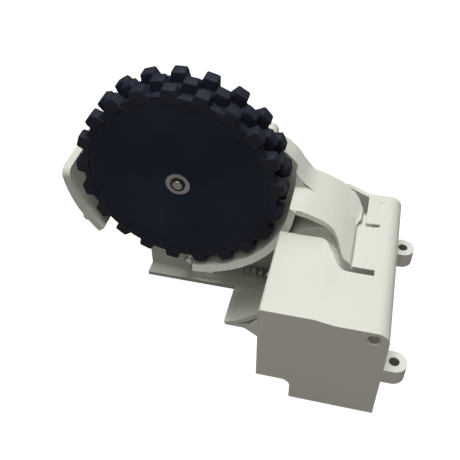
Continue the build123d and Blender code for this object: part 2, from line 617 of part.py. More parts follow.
with BuildPart() as arm_casing:
    # plate behind the wheel, with the gear casing's rim round it
    with BuildSketch(side(PLATE_NEAR)):
        casing_face(CASING_MARGIN)
        outline(arm_top)
        with Locations((0, 0)):
            Circle(KNUCKLE_R)
        # lever for the spring
        outline([(-24.0, -20.0), (LEVER_X - LEVER_END_R, LEVER_Z), (LEVER_X + LEVER_END_R, LEVER_Z),
                 (-13.0, -20.0)])
        with Locations((LEVER_X, LEVER_Z)):
            Circle(LEVER_END_R)
    extrude(amount=-PLATE_THICK)
    # rim wall of the gear casing
    with BuildSketch(side(PLATE_NEAR + PLATE_THICK)):
        casing_face(CASING_MARGIN)
    extrude(amount=-(COVER_FAR - COVER_THICK - PLATE_NEAR - PLATE_THICK))
    # shell over the motor and down to the hinge knuckles
    with BuildSketch(side(PANEL_B_NEAR + ARM_CLEAR)):
        outline(shell_band)
        Circle(KNUCKLE_R)
    extrude(amount=-(COVER_FAR - COVER_THICK - PANEL_B_NEAR - ARM_CLEAR))
    # the shell's near edge follows the cover's S with a small gap
    with BuildSketch(plan(ARM_CUT_LOW)):
        with BuildLine():
            lip = Spline(
                (-20.5, LEDGE_NEAR),
                (-15.8, BOX_DEPTH - 1.0),
                (-13.4, BOX_DEPTH - 6.4),
                (PANEL_B_X, PANEL_B_NEAR),
                tangents=[(1, 0), (1, 0)],
            )
            Line(lip @ 1, (PANEL_B_X, SLOT_NEAR - WALL))
            Line((PANEL_B_X, SLOT_NEAR - WALL), (LIP_CUT_LEFT, SLOT_NEAR - WALL))
            Line((LIP_CUT_LEFT, SLOT_NEAR - WALL), (LIP_CUT_LEFT, LEDGE_NEAR))
            Line((LIP_CUT_LEFT, LEDGE_NEAR), lip @ 0)
        make_face()
    extrude(amount=ARM_CUT_HIGH - ARM_CUT_LOW, mode=Mode.SUBTRACT)
    # rounded end of the shell beside the far panel
    with BuildSketch(side(CORNER_NEAR)):
        outline([(FAR_WALL_END, 7.3), (-12.0, 6.4), (-10.0, 5.3), (-8.6, 4.1), (CORNER_X, 2.9),
                 (CORNER_X, 0.0), (-10.9, 0.0), (-13.0, 4.6), (-15.3, 5.9)])
    extrude(amount=-(COVER_FAR - COVER_THICK - CORNER_NEAR))
    clear_back_corner()
    # hump behind the wheel's upper right: outside the mudguard, then the full width behind the tyre
    for near, far in ((HUMP_NEAR, PLATE_NEAR), (PLATE_NEAR, COVER_FAR - COVER_THICK)):
        with BuildSketch(side(near)):
            outline([*hump_top, (SHELL_LEFT, SHELL_HIGH), (SHELL_LEFT - 2.5, SHELL_HIGH - ARM_SKIN),
                     (-34.0, 12.0), (-38.0, 17.0)])
            if near == HUMP_NEAR:
                with Locations(WHEEL_AT):
                    Circle(GUARD_R, mode=Mode.SUBTRACT)
        extrude(amount=-(far - near))
    # mudguard: long arc under the wheel and short arc in front of it
    with BuildSketch(wheel_side(GUARD_NEAR)):
        ring_sector(GUARD_R, GUARD_R + GUARD_WALL, GUARD_START, GUARD_END)
        ring_sector(FRONT_GUARD_R, FRONT_GUARD_R + FRONT_GUARD_WALL, FRONT_GUARD_START, FRONT_GUARD_END)
    extrude(amount=-(PLATE_NEAR - GUARD_NEAR))
    # flat ledge where the shell meets the mudguard
    with BuildSketch(side(LEDGE_NEAR)):
        outline([(LEDGE_LEFT, SHELL_HIGH), (SHELL_LEFT, SHELL_HIGH),
                 (SHELL_LEFT - 2.5, SHELL_HIGH - ARM_SKIN), (LEDGE_LEFT, SHELL_HIGH - LEDGE_THICK)])
        with Locations(WHEEL_AT):
            Circle(GUARD_R, mode=Mode.SUBTRACT)
    extrude(amount=-(PLATE_NEAR - LEDGE_NEAR))
    with BuildSketch(wheel_side(PLATE_NEAR)):
        ring_sector(PLATE_HOLE_R, GUARD_R + GUARD_WALL, GUARD_START, GUARD_END)
        ring_sector(PLATE_HOLE_R, FRONT_GUARD_R + FRONT_GUARD_WALL, FRONT_GUARD_START, FRONT_GUARD_END)
    extrude(amount=-PLATE_THICK)
    # the front arc's upper corner is rounded off
    corner_at = radians(FRONT_GUARD_START)
    with BuildSketch(Plane(
        origin=(HINGE_X + WHEEL_DX + FRONT_GUARD_R * cos(corner_at), NEAR_Y + GUARD_NEAR,
                HINGE_Z + WHEEL_DZ + FRONT_GUARD_R * sin(corner_at)),
        x_dir=(-sin(corner_at), 0, cos(corner_at)),
        z_dir=(cos(corner_at), 0, sin(corner_at)),
    )):
        with Locations(*[(FRONT_GUARD_CORNER / 2, sign * FRONT_GUARD_CORNER / 2) for sign in (-1, 1)]):
            Rectangle(FRONT_GUARD_CORNER, FRONT_GUARD_CORNER)
        with Locations((FRONT_GUARD_CORNER, FRONT_GUARD_CORNER), (FRONT_GUARD_CORNER, -FRONT_GUARD_CORNER)):
            Circle(FRONT_GUARD_CORNER, mode=Mode.SUBTRACT)
    extrude(amount=FRONT_GUARD_WALL + 1, both=True, mode=Mode.SUBTRACT)
    # small ribs across the arcs
    with BuildSketch(wheel_side(GUARD_NEAR)):
        with PolarLocations(GUARD_R + GUARD_WALL, 1, start_angle=GUARD_RIB_AT):
            Rectangle(*GUARD_RIB)
        with PolarLocations(FRONT_GUARD_R + FRONT_GUARD_WALL, 1, start_angle=FRONT_GUARD_RIB_AT):
            Rectangle(*FRONT_GUARD_RIB)
    extrude(amount=-(PLATE_NEAR - GUARD_NEAR))
    # the room for the gears
    with BuildSketch(side(PLATE_NEAR + PLATE_THICK)):
        casing_face(CASING_MARGIN - RIM_WALL)
    extrude(amount=-(COVER_FAR - COVER_THICK - PLATE_NEAR - PLATE_THICK), mode=Mode.SUBTRACT)
    # room for the rib in the panel gap
    with BuildSketch(plan(-KNUCKLE_R - 1)):
        with Locations((0, (PANEL_GAP_NEAR + PANEL_GAP_FAR) / 2)):
            Rectangle(KNUCKLE_ROOM, PANEL_GAP_FAR - PANEL_GAP_NEAR + 2 * KNUCKLE_GAP)
    extrude(amount=2 * KNUCKLE_R + 2, mode=Mode.SUBTRACT)
    # bores
    bore((0, 0), PIN_R + PIN_FIT, 0, HOUSING_DEPTH)
    bore(MOTOR_AT, MOTOR_BOSS_R + MOTOR_BOSS_FIT, PLATE_NEAR, PLATE_NEAR + PLATE_THICK)
    bore(WHEEL_AT, BUSH_R, PLATE_NEAR, PLATE_NEAR + PLATE_THICK)
    for at in (FIRST_AT, SECOND_AT):
        bore(at, GEAR_PIN_R, PLATE_NEAR + PIN_SEAT, PLATE_NEAR + PLATE_THICK)
    # pin that takes the spring's arm end
    with BuildSketch(side(PLATE_NEAR + PLATE_THICK)):
        with Locations((LEVER_X, LEVER_Z)):
            Circle(POST_R)
    extrude(amount=-(COVER_FAR - COVER_THICK - PLATE_NEAR - PLATE_THICK))
    for at in SCREWS_AT:
        bore(at, SCREW_R, COVER_FAR - COVER_THICK - SCREW_GRIP, COVER_FAR - COVER_THICK)
finish(arm_casing, "arm_casing")


with BuildPart() as gearbox_cover:
    with BuildSketch(side(COVER_FAR - COVER_THICK)):
        casing_face(CASING_MARGIN)
        outline(arm_top)
        outline(shell_band)
        Circle(KNUCKLE_R, mode=Mode.SUBTRACT)
    extrude(amount=-COVER_THICK)
    clear_back_corner()
    bore(WHEEL_AT, BUSH_R, COVER_FAR - COVER_THICK, COVER_FAR)
    for at in (FIRST_AT, SECOND_AT):
        bore(at, GEAR_PIN_R, COVER_FAR - COVER_THICK, COVER_FAR - PIN_SEAT)
    for at in SCREWS_AT:
        bore(at, SCREW_R + CLEAR, COVER_FAR - COVER_THICK, COVER_FAR)
        bore(at, SCREW_HEAD_R + CLEAR, COVER_FAR - SCREW_HEAD, COVER_FAR)
finish(gearbox_cover, "gearbox_cover")

with BuildPart() as cover_screws:
    for at in SCREWS_AT:
        turn([(COVER_FAR - COVER_THICK - SCREW_GRIP, 0), (COVER_FAR - COVER_THICK - SCREW_GRIP, SCREW_R),
              (COVER_FAR - SCREW_HEAD, SCREW_R), (COVER_FAR - SCREW_HEAD, SCREW_HEAD_R),
              (COVER_FAR, SCREW_HEAD_R), (COVER_FAR, 0)], *at)
finish(cover_screws, "cover_screws")

# Motor
with BuildPart() as motor_sleeve:
    inner = MOTOR_R + SLEEVE_FIT
    turn([(SLEEVE_NEAR, 0), (SLEEVE_NEAR, inner + SLEEVE_WALL - 1), (SLEEVE_NEAR + 1, inner + SLEEVE_WALL),
          (PLATE_NEAR, inner + SLEEVE_WALL), (PLATE_NEAR, inner), (SLEEVE_NEAR + SLEEVE_WALL, inner),
          (SLEEVE_NEAR + SLEEVE_WALL, 0)], *MOTOR_AT)
finish(motor_sleeve, "motor_sleeve")

with BuildPart() as motor_can:
    boss_far = PLATE_NEAR + PLATE_THICK - MOTOR_BOSS_FIT
    turn([(MOTOR_FAR - MOTOR_LENGTH, 0), (MOTOR_FAR - MOTOR_LENGTH, MOTOR_R),
          (MOTOR_FAR - MOTOR_EDGE, MOTOR_R), (MOTOR_FAR, MOTOR_R - MOTOR_EDGE), (MOTOR_FAR, MOTOR_BOSS_R),
          (boss_far, MOTOR_BOSS_R), (boss_far, 0)], *MOTOR_AT)
    bore(MOTOR_AT, MOTOR_SHAFT_R + AXLE_FIT, 0, HOUSING_DEPTH)
finish(motor_can, "motor_can")

with BuildPart() as motor_end_cap:
    near = MOTOR_FAR - MOTOR_LENGTH - END_CAP_THICK
    cap_r = MOTOR_R - END_CAP_SMALLER
    turn([(near, 0), (near, cap_r - END_CAP_EDGE), (near + END_CAP_EDGE, cap_r),
          (near + END_CAP_THICK, cap_r), (near + END_CAP_THICK, 0)], *MOTOR_AT)
    bore(MOTOR_AT, MOTOR_SHAFT_R + AXLE_FIT, 0, HOUSING_DEPTH)
    # two slots for the brush terminals
    with BuildSketch(side(near)):
        with Locations((MOTOR_X - TERMINAL_X, MOTOR_Z), (MOTOR_X + TERMINAL_X, MOTOR_Z)):
            Rectangle(TERMINAL_WIDE, TERMINAL_THICK)
    extrude(amount=-END_CAP_THICK, mode=Mode.SUBTRACT)
finish(motor_end_cap, "motor_end_cap")

with BuildPart() as motor_terminals:
    with BuildSketch(side(MOTOR_FAR - MOTOR_LENGTH - END_CAP_THICK - TERMINAL_PROUD)):
        with Locations((MOTOR_X - TERMINAL_X, MOTOR_Z), (MOTOR_X + TERMINAL_X, MOTOR_Z)):
            Rectangle(TERMINAL_WIDE, TERMINAL_THICK)
    extrude(amount=-(END_CAP_THICK + TERMINAL_PROUD))
finish(motor_terminals, "motor_terminals")

with BuildPart() as motor_shaft:
    near = MOTOR_FAR - MOTOR_LENGTH - END_CAP_THICK - MAGNET_GAP - MAGNET_THICK - SHAFT_PROUD
    turn([(near, 0), (near, MOTOR_SHAFT_R), (NEAR_LAYER + GEAR_WIDTH, MOTOR_SHAFT_R),
          (NEAR_LAYER + GEAR_WIDTH, 0)], *MOTOR_AT)
finish(motor_shaft, "motor_shaft")

with BuildPart() as encoder_magnet:
    near = MOTOR_FAR - MOTOR_LENGTH - END_CAP_THICK - MAGNET_GAP - MAGNET_THICK
    turn([(near, MOTOR_SHAFT_R), (near, MAGNET_R), (near + MAGNET_THICK, MAGNET_R),
          (near + MAGNET_THICK, MOTOR_SHAFT_R)], *MOTOR_AT)
finish(encoder_magnet, "encoder_magnet")

# Gears, each turned so that it meshes with the one before
motor_from_first = bearing(FIRST_AT, MOTOR_AT)
second_from_first = bearing(FIRST_AT, SECOND_AT)
wheel_from_second = bearing(SECOND_AT, WHEEL_AT)

with BuildPart() as motor_pinion:
    spur(MODULE, PINION_TEETH, motor_from_first + pi, MOTOR_AT, NEAR_LAYER)
    bore(MOTOR_AT, MOTOR_SHAFT_R, NEAR_LAYER, NEAR_LAYER + GEAR_WIDTH)
finish(motor_pinion, "motor_pinion")

with BuildPart() as first_gear:
    spur(MODULE, FIRST_TEETH, motor_from_first + pi / FIRST_TEETH, FIRST_AT, NEAR_LAYER)
    spur(MODULE, FIRST_SMALL_TEETH, second_from_first, FIRST_AT, FAR_LAYER)
    turn([(NEAR_LAYER + GEAR_WIDTH / 2, 0), (NEAR_LAYER + GEAR_WIDTH / 2, FIRST_HUB_R),
          (FAR_LAYER + GEAR_WIDTH / 2, FIRST_HUB_R), (FAR_LAYER + GEAR_WIDTH / 2, 0)], *FIRST_AT)
    bore(FIRST_AT, GEAR_PIN_R + GEAR_FIT, 0, HOUSING_DEPTH)
finish(first_gear, "first_gear")

with BuildPart() as second_gear:
    spur(MODULE, SECOND_TEETH, second_from_first + pi + pi / SECOND_TEETH, SECOND_AT, FAR_LAYER)
    spur(LAST_MODULE, SECOND_SMALL_TEETH, wheel_from_second, SECOND_AT, NEAR_LAYER)
    turn([(NEAR_LAYER + GEAR_WIDTH / 2, 0), (NEAR_LAYER + GEAR_WIDTH / 2, SECOND_HUB_R),
          (FAR_LAYER + GEAR_WIDTH / 2, SECOND_HUB_R), (FAR_LAYER + GEAR_WIDTH / 2, 0)], *SECOND_AT)
    bore(SECOND_AT, GEAR_PIN_R + GEAR_FIT, 0, HOUSING_DEPTH)
finish(second_gear, "second_gear")

with BuildPart() as output_gear:
    spur(LAST_MODULE, OUTPUT_TEETH, wheel_from_second + pi + pi / OUTPUT_TEETH, WHEEL_AT, NEAR_LAYER)
    turn([(NEAR_LAYER + GEAR_WIDTH / 2, 0), (NEAR_LAYER + GEAR_WIDTH / 2, OUTPUT_HUB_R),
          (FAR_LAYER + GEAR_WIDTH, OUTPUT_HUB_R), (FAR_LAYER + GEAR_WIDTH, 0)], *WHEEL_AT)
    bore(WHEEL_AT, AXLE_R, 0, HOUSING_DEPTH)
finish(output_gear, "output_gear")

for label, at in (("first_gear_pin", FIRST_AT), ("second_gear_pin", SECOND_AT)):
    with BuildPart() as gear_pin:
        turn([(PLATE_NEAR + PIN_SEAT, 0), (PLATE_NEAR + PIN_SEAT, GEAR_PIN_R),
              (COVER_FAR - PIN_SEAT, GEAR_PIN_R), (COVER_FAR - PIN_SEAT, 0)], *at)
    finish(gear_pin, label)

# Wheel
with BuildPart() as wheel_axle:
    turn([(AXLE_NEAR, 0), (AXLE_NEAR, AXLE_TIP_R - AXLE_EDGE), (AXLE_NEAR + AXLE_EDGE, AXLE_TIP_R),
          (DISC_FACE, AXLE_TIP_R), (DISC_FACE, AXLE_R), (COVER_FAR - AXLE_SHORT, AXLE_R),
          (COVER_FAR - AXLE_SHORT, 0)], *WHEEL_AT)
finish(wheel_axle, "wheel_axle")

with BuildPart() as near_bush:
    flange_near = PLATE_NEAR - BUSH_FLANGE
    turn([(flange_near, AXLE_R + AXLE_FIT), (flange_near, BUSH_FLANGE_R), (PLATE_NEAR, BUSH_FLANGE_R),
          (PLATE_NEAR, BUSH_R), (PLATE_NEAR + PLATE_THICK, BUSH_R),
          (PLATE_NEAR + PLATE_THICK, AXLE_R + AXLE_FIT)], *WHEEL_AT)
finish(near_bush, "near_bush")

with BuildPart() as far_bush:
    turn([(COVER_FAR - COVER_THICK, AXLE_R + AXLE_FIT), (COVER_FAR - COVER_THICK, BUSH_R),
          (COVER_FAR, BUSH_R), (COVER_FAR, AXLE_R + AXLE_FIT)], *WHEEL_AT)
finish(far_bush, "far_bush")

with BuildPart() as wheel_disc:
    disc_back = DISC_FACE + DISC_THICK
    inside_r = RIM_R - RIM_THICK
    turn([(DISC_FACE, AXLE_R), (DISC_FACE, DISC_R - DISC_EDGE), (DISC_FACE + DISC_EDGE, DISC_R),
          (disc_back, DISC_R), (disc_back, RIM_R), (TYRE_FAR, RIM_R), (TYRE_FAR, inside_r),
          (disc_back, inside_r), (disc_back, HUB_BOSS_R), (PLATE_NEAR - HUB_GAP, HUB_BOSS_R),
          (PLATE_NEAR - HUB_GAP, AXLE_R)], *WHEEL_AT)
    # ribs from the boss to the rim, behind the disc
    with BuildSketch(wheel_side(disc_back)):
        with PolarLocations((HUB_BOSS_R + inside_r) / 2, SPOKE_COUNT):
            Rectangle(inside_r - HUB_BOSS_R + FUSE, SPOKE_THICK)
    extrude(amount=-SPOKE_DEPTH)
finish(wheel_disc, "wheel_disc")

with BuildPart() as tyre:
    lip_near = TYRE_NEAR + TYRE_LIP
    turn([(DISC_FACE + DISC_THICK, RIM_R), (DISC_FACE + DISC_THICK, DISC_R), (lip_near, DISC_R),
          (lip_near, BASE_R + SHOULDER - TYRE_LIP), (lip_near + TYRE_LIP, BASE_R + SHOULDER),
          (TYRE_NEAR + SHOULDER_WIDE, BASE_R + SHOULDER), (TYRE_NEAR + SHOULDER_WIDE + SHOULDER, BASE_R),
          (TYRE_FAR, BASE_R), (TYRE_FAR, RIM_R)], *WHEEL_AT)
    foot_r = BASE_R - LUG_SINK
    shoulder_r = WHEEL_R - LUG_EDGE
    half_top = LUG_TIP / 2 - LUG_EDGE_IN
    half_mid = LUG_TIP / 2 + LUG_EDGE_OUT
    lug = [(foot_r, -LUG_BASE / 2), (shoulder_r, -half_mid), (WHEEL_R, -half_top), (WHEEL_R, half_top),
           (shoulder_r, half_mid), (foot_r, LUG_BASE / 2)]
    for row in range(LUG_ROWS):
        turned = LUG_PHASE + (row % 2) * 180 / LUG_COUNT
        with BuildSketch(wheel_side(TYRE_NEAR + row * (LUG_ROW + LUG_ROW_GAP))):
            with PolarLocations(0, LUG_COUNT, start_angle=turned):
                Polygon(*lug, align=None)
        extrude(amount=-LUG_ROW)
finish(tyre, "tyre")

with BuildPart() as hub_washer:
    turn([(DISC_FACE - WASHER_THICK, AXLE_TIP_R), (DISC_FACE - WASHER_THICK, WASHER_R),
          (DISC_FACE, WASHER_R), (DISC_FACE, AXLE_TIP_R)], *WHEEL_AT)
finish(hub_washer, "hub_washer")

with BuildPart() as retaining_ring:
    ring_far = DISC_FACE - WASHER_THICK
    turn([(ring_far - RING_THICK, AXLE_TIP_R), (ring_far - RING_THICK, AXLE_R), (ring_far, AXLE_R),
          (ring_far, AXLE_TIP_R)], *WHEEL_AT)
finish(retaining_ring, "retaining_ring")

# Extension spring between the housing's post and the arm's pin
spring_run = bearing((POST_X, POST_Z), (LEVER_X, LEVER_Z))
spring_span = hypot(LEVER_X - POST_X, LEVER_Z - POST_Z)
coil_length = SPRING_TURNS * SPRING_PITCH
coil_start = (spring_span - coil_length) / 2
with BuildPart() as extension_spring:
    centre = Vector(HINGE_X + POST_X, NEAR_Y + SPRING_DEPTH, HINGE_Z + POST_Z)
    along = Vector(cos(spring_run), 0, sin(spring_run))
    across = Vector(0, -1, 0)
    upright = across.cross(along)
    # the coil is a helix in short straight runs
    steps = [2 * pi * k / COIL_SIDES for k in range(SPRING_TURNS * COIL_SIDES + 1)]
    with BuildLine() as coil_path:
        Polyline(*[centre + along * (coil_start + SPRING_PITCH * t / 2 / pi)
                   + (across * cos(t) + upright * sin(t)) * SPRING_R for t in steps])
    with BuildSketch(Plane(origin=coil_path.line @ 0, z_dir=coil_path.line % 0)) as coil_wire:
        RegularPolygon(WIRE_R, WIRE_SIDES)
    sweep(coil_wire.sketch, path=coil_path.line, transition=Transition.RIGHT)
    # straight tails to an eye round each post, and a wire across each end of the coil
    eye_r = POST_R + WIRE_R + CLEAR
    for at, way in (((POST_X, POST_Z), 1), ((LEVER_X, LEVER_Z), -1)):
        post = Vector(HINGE_X + at[0], NEAR_Y + SPRING_DEPTH, HINGE_Z + at[1])
        with BuildSketch(Plane(origin=post, x_dir=(1, 0, 0), z_dir=(0, 0, 1))) as eye_wire:
            with Locations((eye_r, 0)):
                RegularPolygon(WIRE_R, WIRE_SIDES)
        revolve(eye_wire.sketch, axis=Axis(post, (0, 1, 0)))
        with BuildSketch(Plane(origin=post + along * way * eye_r, z_dir=along * way)) as tail_wire:
            RegularPolygon(WIRE_R, WIRE_SIDES)
        extrude(tail_wire.sketch, amount=coil_start - eye_r + WIRE_R)
    for end in (coil_path.line @ 0, coil_path.line @ 1):
        middle = centre + along * (end - centre).dot(along)
        with BuildSketch(Plane(origin=middle, z_dir=end - middle)) as cross_wire:
            RegularPolygon(WIRE_R, WIRE_SIDES)
        extrude(cross_wire.sketch, amount=SPRING_R)
finish(extension_spring, "extension_spring")

# Wheel-drop switch and the connector on the far wall's inside
with BuildPart() as drop_switch:
    with BuildSketch(side(HOUSING_DEPTH - WALL - SWITCH_SIZE[1])):
        with Locations(SWITCH_AT):
            Rectangle(SWITCH_SIZE[0], SWITCH_SIZE[2])
    extrude(amount=-SWITCH_SIZE[1])
    with BuildSketch(plan(SWITCH_AT[1] + SWITCH_SIZE[2] / 2)):
        with Locations((SWITCH_AT[0] + PLUNGER_SHIFT, HOUSING_DEPTH - WALL - SWITCH_SIZE[1] / 2)):
            Rectangle(PLUNGER_LONG + 2 * PLUNGER_FIT, PLUNGER_WIDE + 2 * PLUNGER_FIT)
    extrude(amount=-PLUNGER_POCKET, mode=Mode.SUBTRACT)
finish(drop_switch, "drop_switch")

with BuildPart() as switch_plunger:
    with BuildSketch(plan(SWITCH_AT[1] + SWITCH_SIZE[2] / 2 + PLUNGER_PROUD)):
        with Locations((SWITCH_AT[0] + PLUNGER_SHIFT, HOUSING_DEPTH - WALL - SWITCH_SIZE[1] / 2)):
            Rectangle(PLUNGER_LONG, PLUNGER_WIDE)
    extrude(amount=-(PLUNGER_POCKET + PLUNGER_PROUD - PLUNGER_TRAVEL - CLEAR))
finish(switch_plunger, "switch_plunger")

with BuildPart() as encoder_board:
    turn([(BOARD_NEAR, 0), (BOARD_NEAR, MOTOR_R), (BOARD_NEAR + BOARD_THICK, MOTOR_R),
          (BOARD_NEAR + BOARD_THICK, 0)], *MOTOR_AT)
finish(encoder_board, "encoder_board")
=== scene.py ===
# Looks of the drive wheel module: finishes, softened moulded edges, the lugged tyre and the light.
from math import pi, radians

import bmesh
import bpy
from mathutils import Matrix, Vector
from mathutils.geometry import interpolate_bezier


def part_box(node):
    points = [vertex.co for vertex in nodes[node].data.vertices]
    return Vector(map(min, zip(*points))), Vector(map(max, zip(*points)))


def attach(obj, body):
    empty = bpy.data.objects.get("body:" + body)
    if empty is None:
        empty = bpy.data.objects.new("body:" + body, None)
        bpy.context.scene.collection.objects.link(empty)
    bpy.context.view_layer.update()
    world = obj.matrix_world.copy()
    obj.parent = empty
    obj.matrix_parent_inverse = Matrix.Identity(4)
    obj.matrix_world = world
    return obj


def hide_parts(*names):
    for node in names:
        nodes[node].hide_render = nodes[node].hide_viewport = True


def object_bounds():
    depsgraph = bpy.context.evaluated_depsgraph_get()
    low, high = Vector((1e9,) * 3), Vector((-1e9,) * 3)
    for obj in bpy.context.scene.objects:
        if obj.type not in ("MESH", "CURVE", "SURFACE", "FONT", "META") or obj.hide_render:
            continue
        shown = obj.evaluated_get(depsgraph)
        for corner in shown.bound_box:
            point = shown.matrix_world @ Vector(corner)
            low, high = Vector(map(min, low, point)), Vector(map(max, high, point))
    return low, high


MM = 0.001

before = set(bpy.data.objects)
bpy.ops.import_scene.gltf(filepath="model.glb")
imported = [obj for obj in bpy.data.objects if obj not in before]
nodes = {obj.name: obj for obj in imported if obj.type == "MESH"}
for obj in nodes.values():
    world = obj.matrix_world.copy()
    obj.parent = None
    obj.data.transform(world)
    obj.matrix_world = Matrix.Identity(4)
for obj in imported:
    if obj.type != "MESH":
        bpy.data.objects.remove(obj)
cad_box = [list(corner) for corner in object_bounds()]


def middle(node):
    """The middle of a CAD node's box."""
    low, high = (Vector(corner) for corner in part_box(node))
    return (low + high) / 2


# The hinge axis where it meets the near wall; x, depth and z below are counted from here
HINGE = Vector((middle("hinge_pin").x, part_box("base_housing")[0][1], middle("hinge_pin").z))

# Tolerances, and how fine the round shapes are
MERGE = 0.002 * MM
WELD = 0.01 * MM
ON_PLACE = 0.1 * MM
NEARLY_FLAT = radians(1.0)
MOULDED_EDGE = radians(32)
SOFT_EDGE = radians(40)
TURNED_EDGE = radians(30)
TYRE_STEPS = 168
PIN_STEPS = 48
BORE_STEPS = 32
CUP_STEPS = 9
FOLD_STEPS = 13

# Tyre
WHEEL_RADIUS = 35.0 * MM
TREAD_BASE = 31.4 * MM
TYRE_INSIDE = 28.4 * MM
TYRE_LIP = 0.4 * MM
TYRE_REAR_EDGE = 0.3 * MM
SHOULDER_RADIUS = 32.7 * MM
SHOULDER_WIDTH = 1.4 * MM
SHOULDER_EDGE = 0.4 * MM

# Tread blocks: three rows, the middle one turned by half a pitch
LUGS_IN_ROW = 21
LUG_ROWS = 3
LUG_ROW_STEP = 5.15 * MM
FIRST_LUG = radians(126.0)
LUG_LENGTH = 4.5 * MM
LUG_TIP_WIDTH = 4.3 * MM
LUG_FOOT_WIDTH = 6.4 * MM
LUG_END_TAPER = 0.96
LUG_ROUNDING = 0.55 * MM
LUG_SINK = 0.9 * MM

# Widths of the rounded edges
HOUSING_EDGE = 0.35 * MM
ARM_EDGE = 0.3 * MM
DISC_EDGE = 0.3 * MM

# Mudguard's near rim: its depth and radius in the CAD, and how far its inside leans back
GUARD_NEAR = 34.6 * MM
GUARD_RADIUS = 36.9 * MM
GUARD_TILT = 1.4 * MM

# Shell's back corner, in mm: x and z of the step's two corners in the CAD, and where each one goes
CORNER_NEAR = 46.2
CORNER_RAMP = {(-12.0, 6.4): (-12.0, 41.0, 5.2), (-10.0, 5.3): (-10.0, 43.0, 3.45)}

# Wall under the shell's lip, in mm: its S from above as x and depth, the shell's underside as x and z
MOTOR_CENTRE = (-16.5, -11.0)
CUP_RADIUS = 18.0
CUP_BOTTOM = -3.0
CUP_FAR = 51.2
CUP_EDGE = 0.4
CUP_EDGE_BEND = 0.12
CUP_PLAN = [
    ((-31.0, 36.6), (-27.0, 36.6), (-24.0, 36.6), (-20.5, 36.6)),
    ((-20.5, 36.6), (-18.3, 36.6), (-16.2, 35.9), (-14.9, 33.6)),
    ((-14.9, 33.6), (-13.9, 31.8), (-13.4, 29.9), (-12.5, 28.3)),
    ((-12.5, 28.3), (-11.8, 27.0), (-11.0, 25.9), (-10.0, 25.8)),
]
SHELL_UNDERSIDE = [
    (-32.0, 11.5), (-27.7, 11.5), (-24.8, 10.6), (-21.2, 9.3), (-17.5, 7.7),
    (-14.3, 5.8), (-11.8, 3.9), (-10.4, 2.8), (-9.6, 1.7),
]

# Fold between hump and shell, in mm: start, pull and end of its curve in x and z, and its two depths
FOLD_PROFILE = ((-31.4, 18.8), (-27.97, 13.08), (-23.6, 11.67))
FOLD_DEPTHS = (47.3, 57.2)

# Housing's scoop and the web under it, in mm
WEB_DEPTHS = (31.9, 34.9)
WEB_LEFT = -39.3
SCOOP_CORNER = (-53.3, 35.0)
SCOOP_BOTTOM = -40.0
SCOOP_ROUNDING = 1.15

# Ear holes, from the origin between them, and the pin's head as depth and radius, in mm
EAR_SPACING = 50.0
EAR_BORE_RADIUS = 1.57
EAR_BORE_ENDS = (-6.0, -0.4)
PIN_HEAD = [(0.3, 0.0), (0.3, 1.3), (0.48, 1.45), (0.79, 1.45), (0.79, 0.0)]

# Room, in metres: a light is its name, place, size across and power
FLOOR_SIZE = 1.5
FLOOR_TINT = (0.345, 0.31, 0.308)
LIGHT_AIM = (-0.045, 0.0, 0.0)
LIGHTS = [
    ("overhead", (-0.05, 0.0, 0.8), 0.6, 5.1),
    ("behind", (0.0, 0.45, 0.65), 0.6, 1.1),
    ("front", (-0.1, -0.5, 0.65), 0.5, 1.1),
]
ROOM_GLOW = 0.01

# The photograph's camera
CAMERA_AT = Vector((-19.6, -151.8, 166.9)) * MM
CAMERA_RIGHT = Vector((0.9722, 0.2342, -0.0037))
CAMERA_UP = Vector((-0.1583, 0.6687, 0.7265))
LENS = 52.28
SENSOR = 36.0
CLOSEST_SEEN = 0.01


def new_group(name, inputs, outputs):
    """An empty shader node group; its sockets are (label, kind, value) and (label, kind)."""
    group = bpy.data.node_groups.new(name, "ShaderNodeTree")
    for label, kind, value in inputs:
        socket = group.interface.new_socket(label, in_out="INPUT", socket_type=kind)
        socket.default_value = value
    for label, kind in outputs:
        group.interface.new_socket(label, in_out="OUTPUT", socket_type=kind)
    return group, group.nodes.new("NodeGroupInput"), group.nodes.new("NodeGroupOutput")


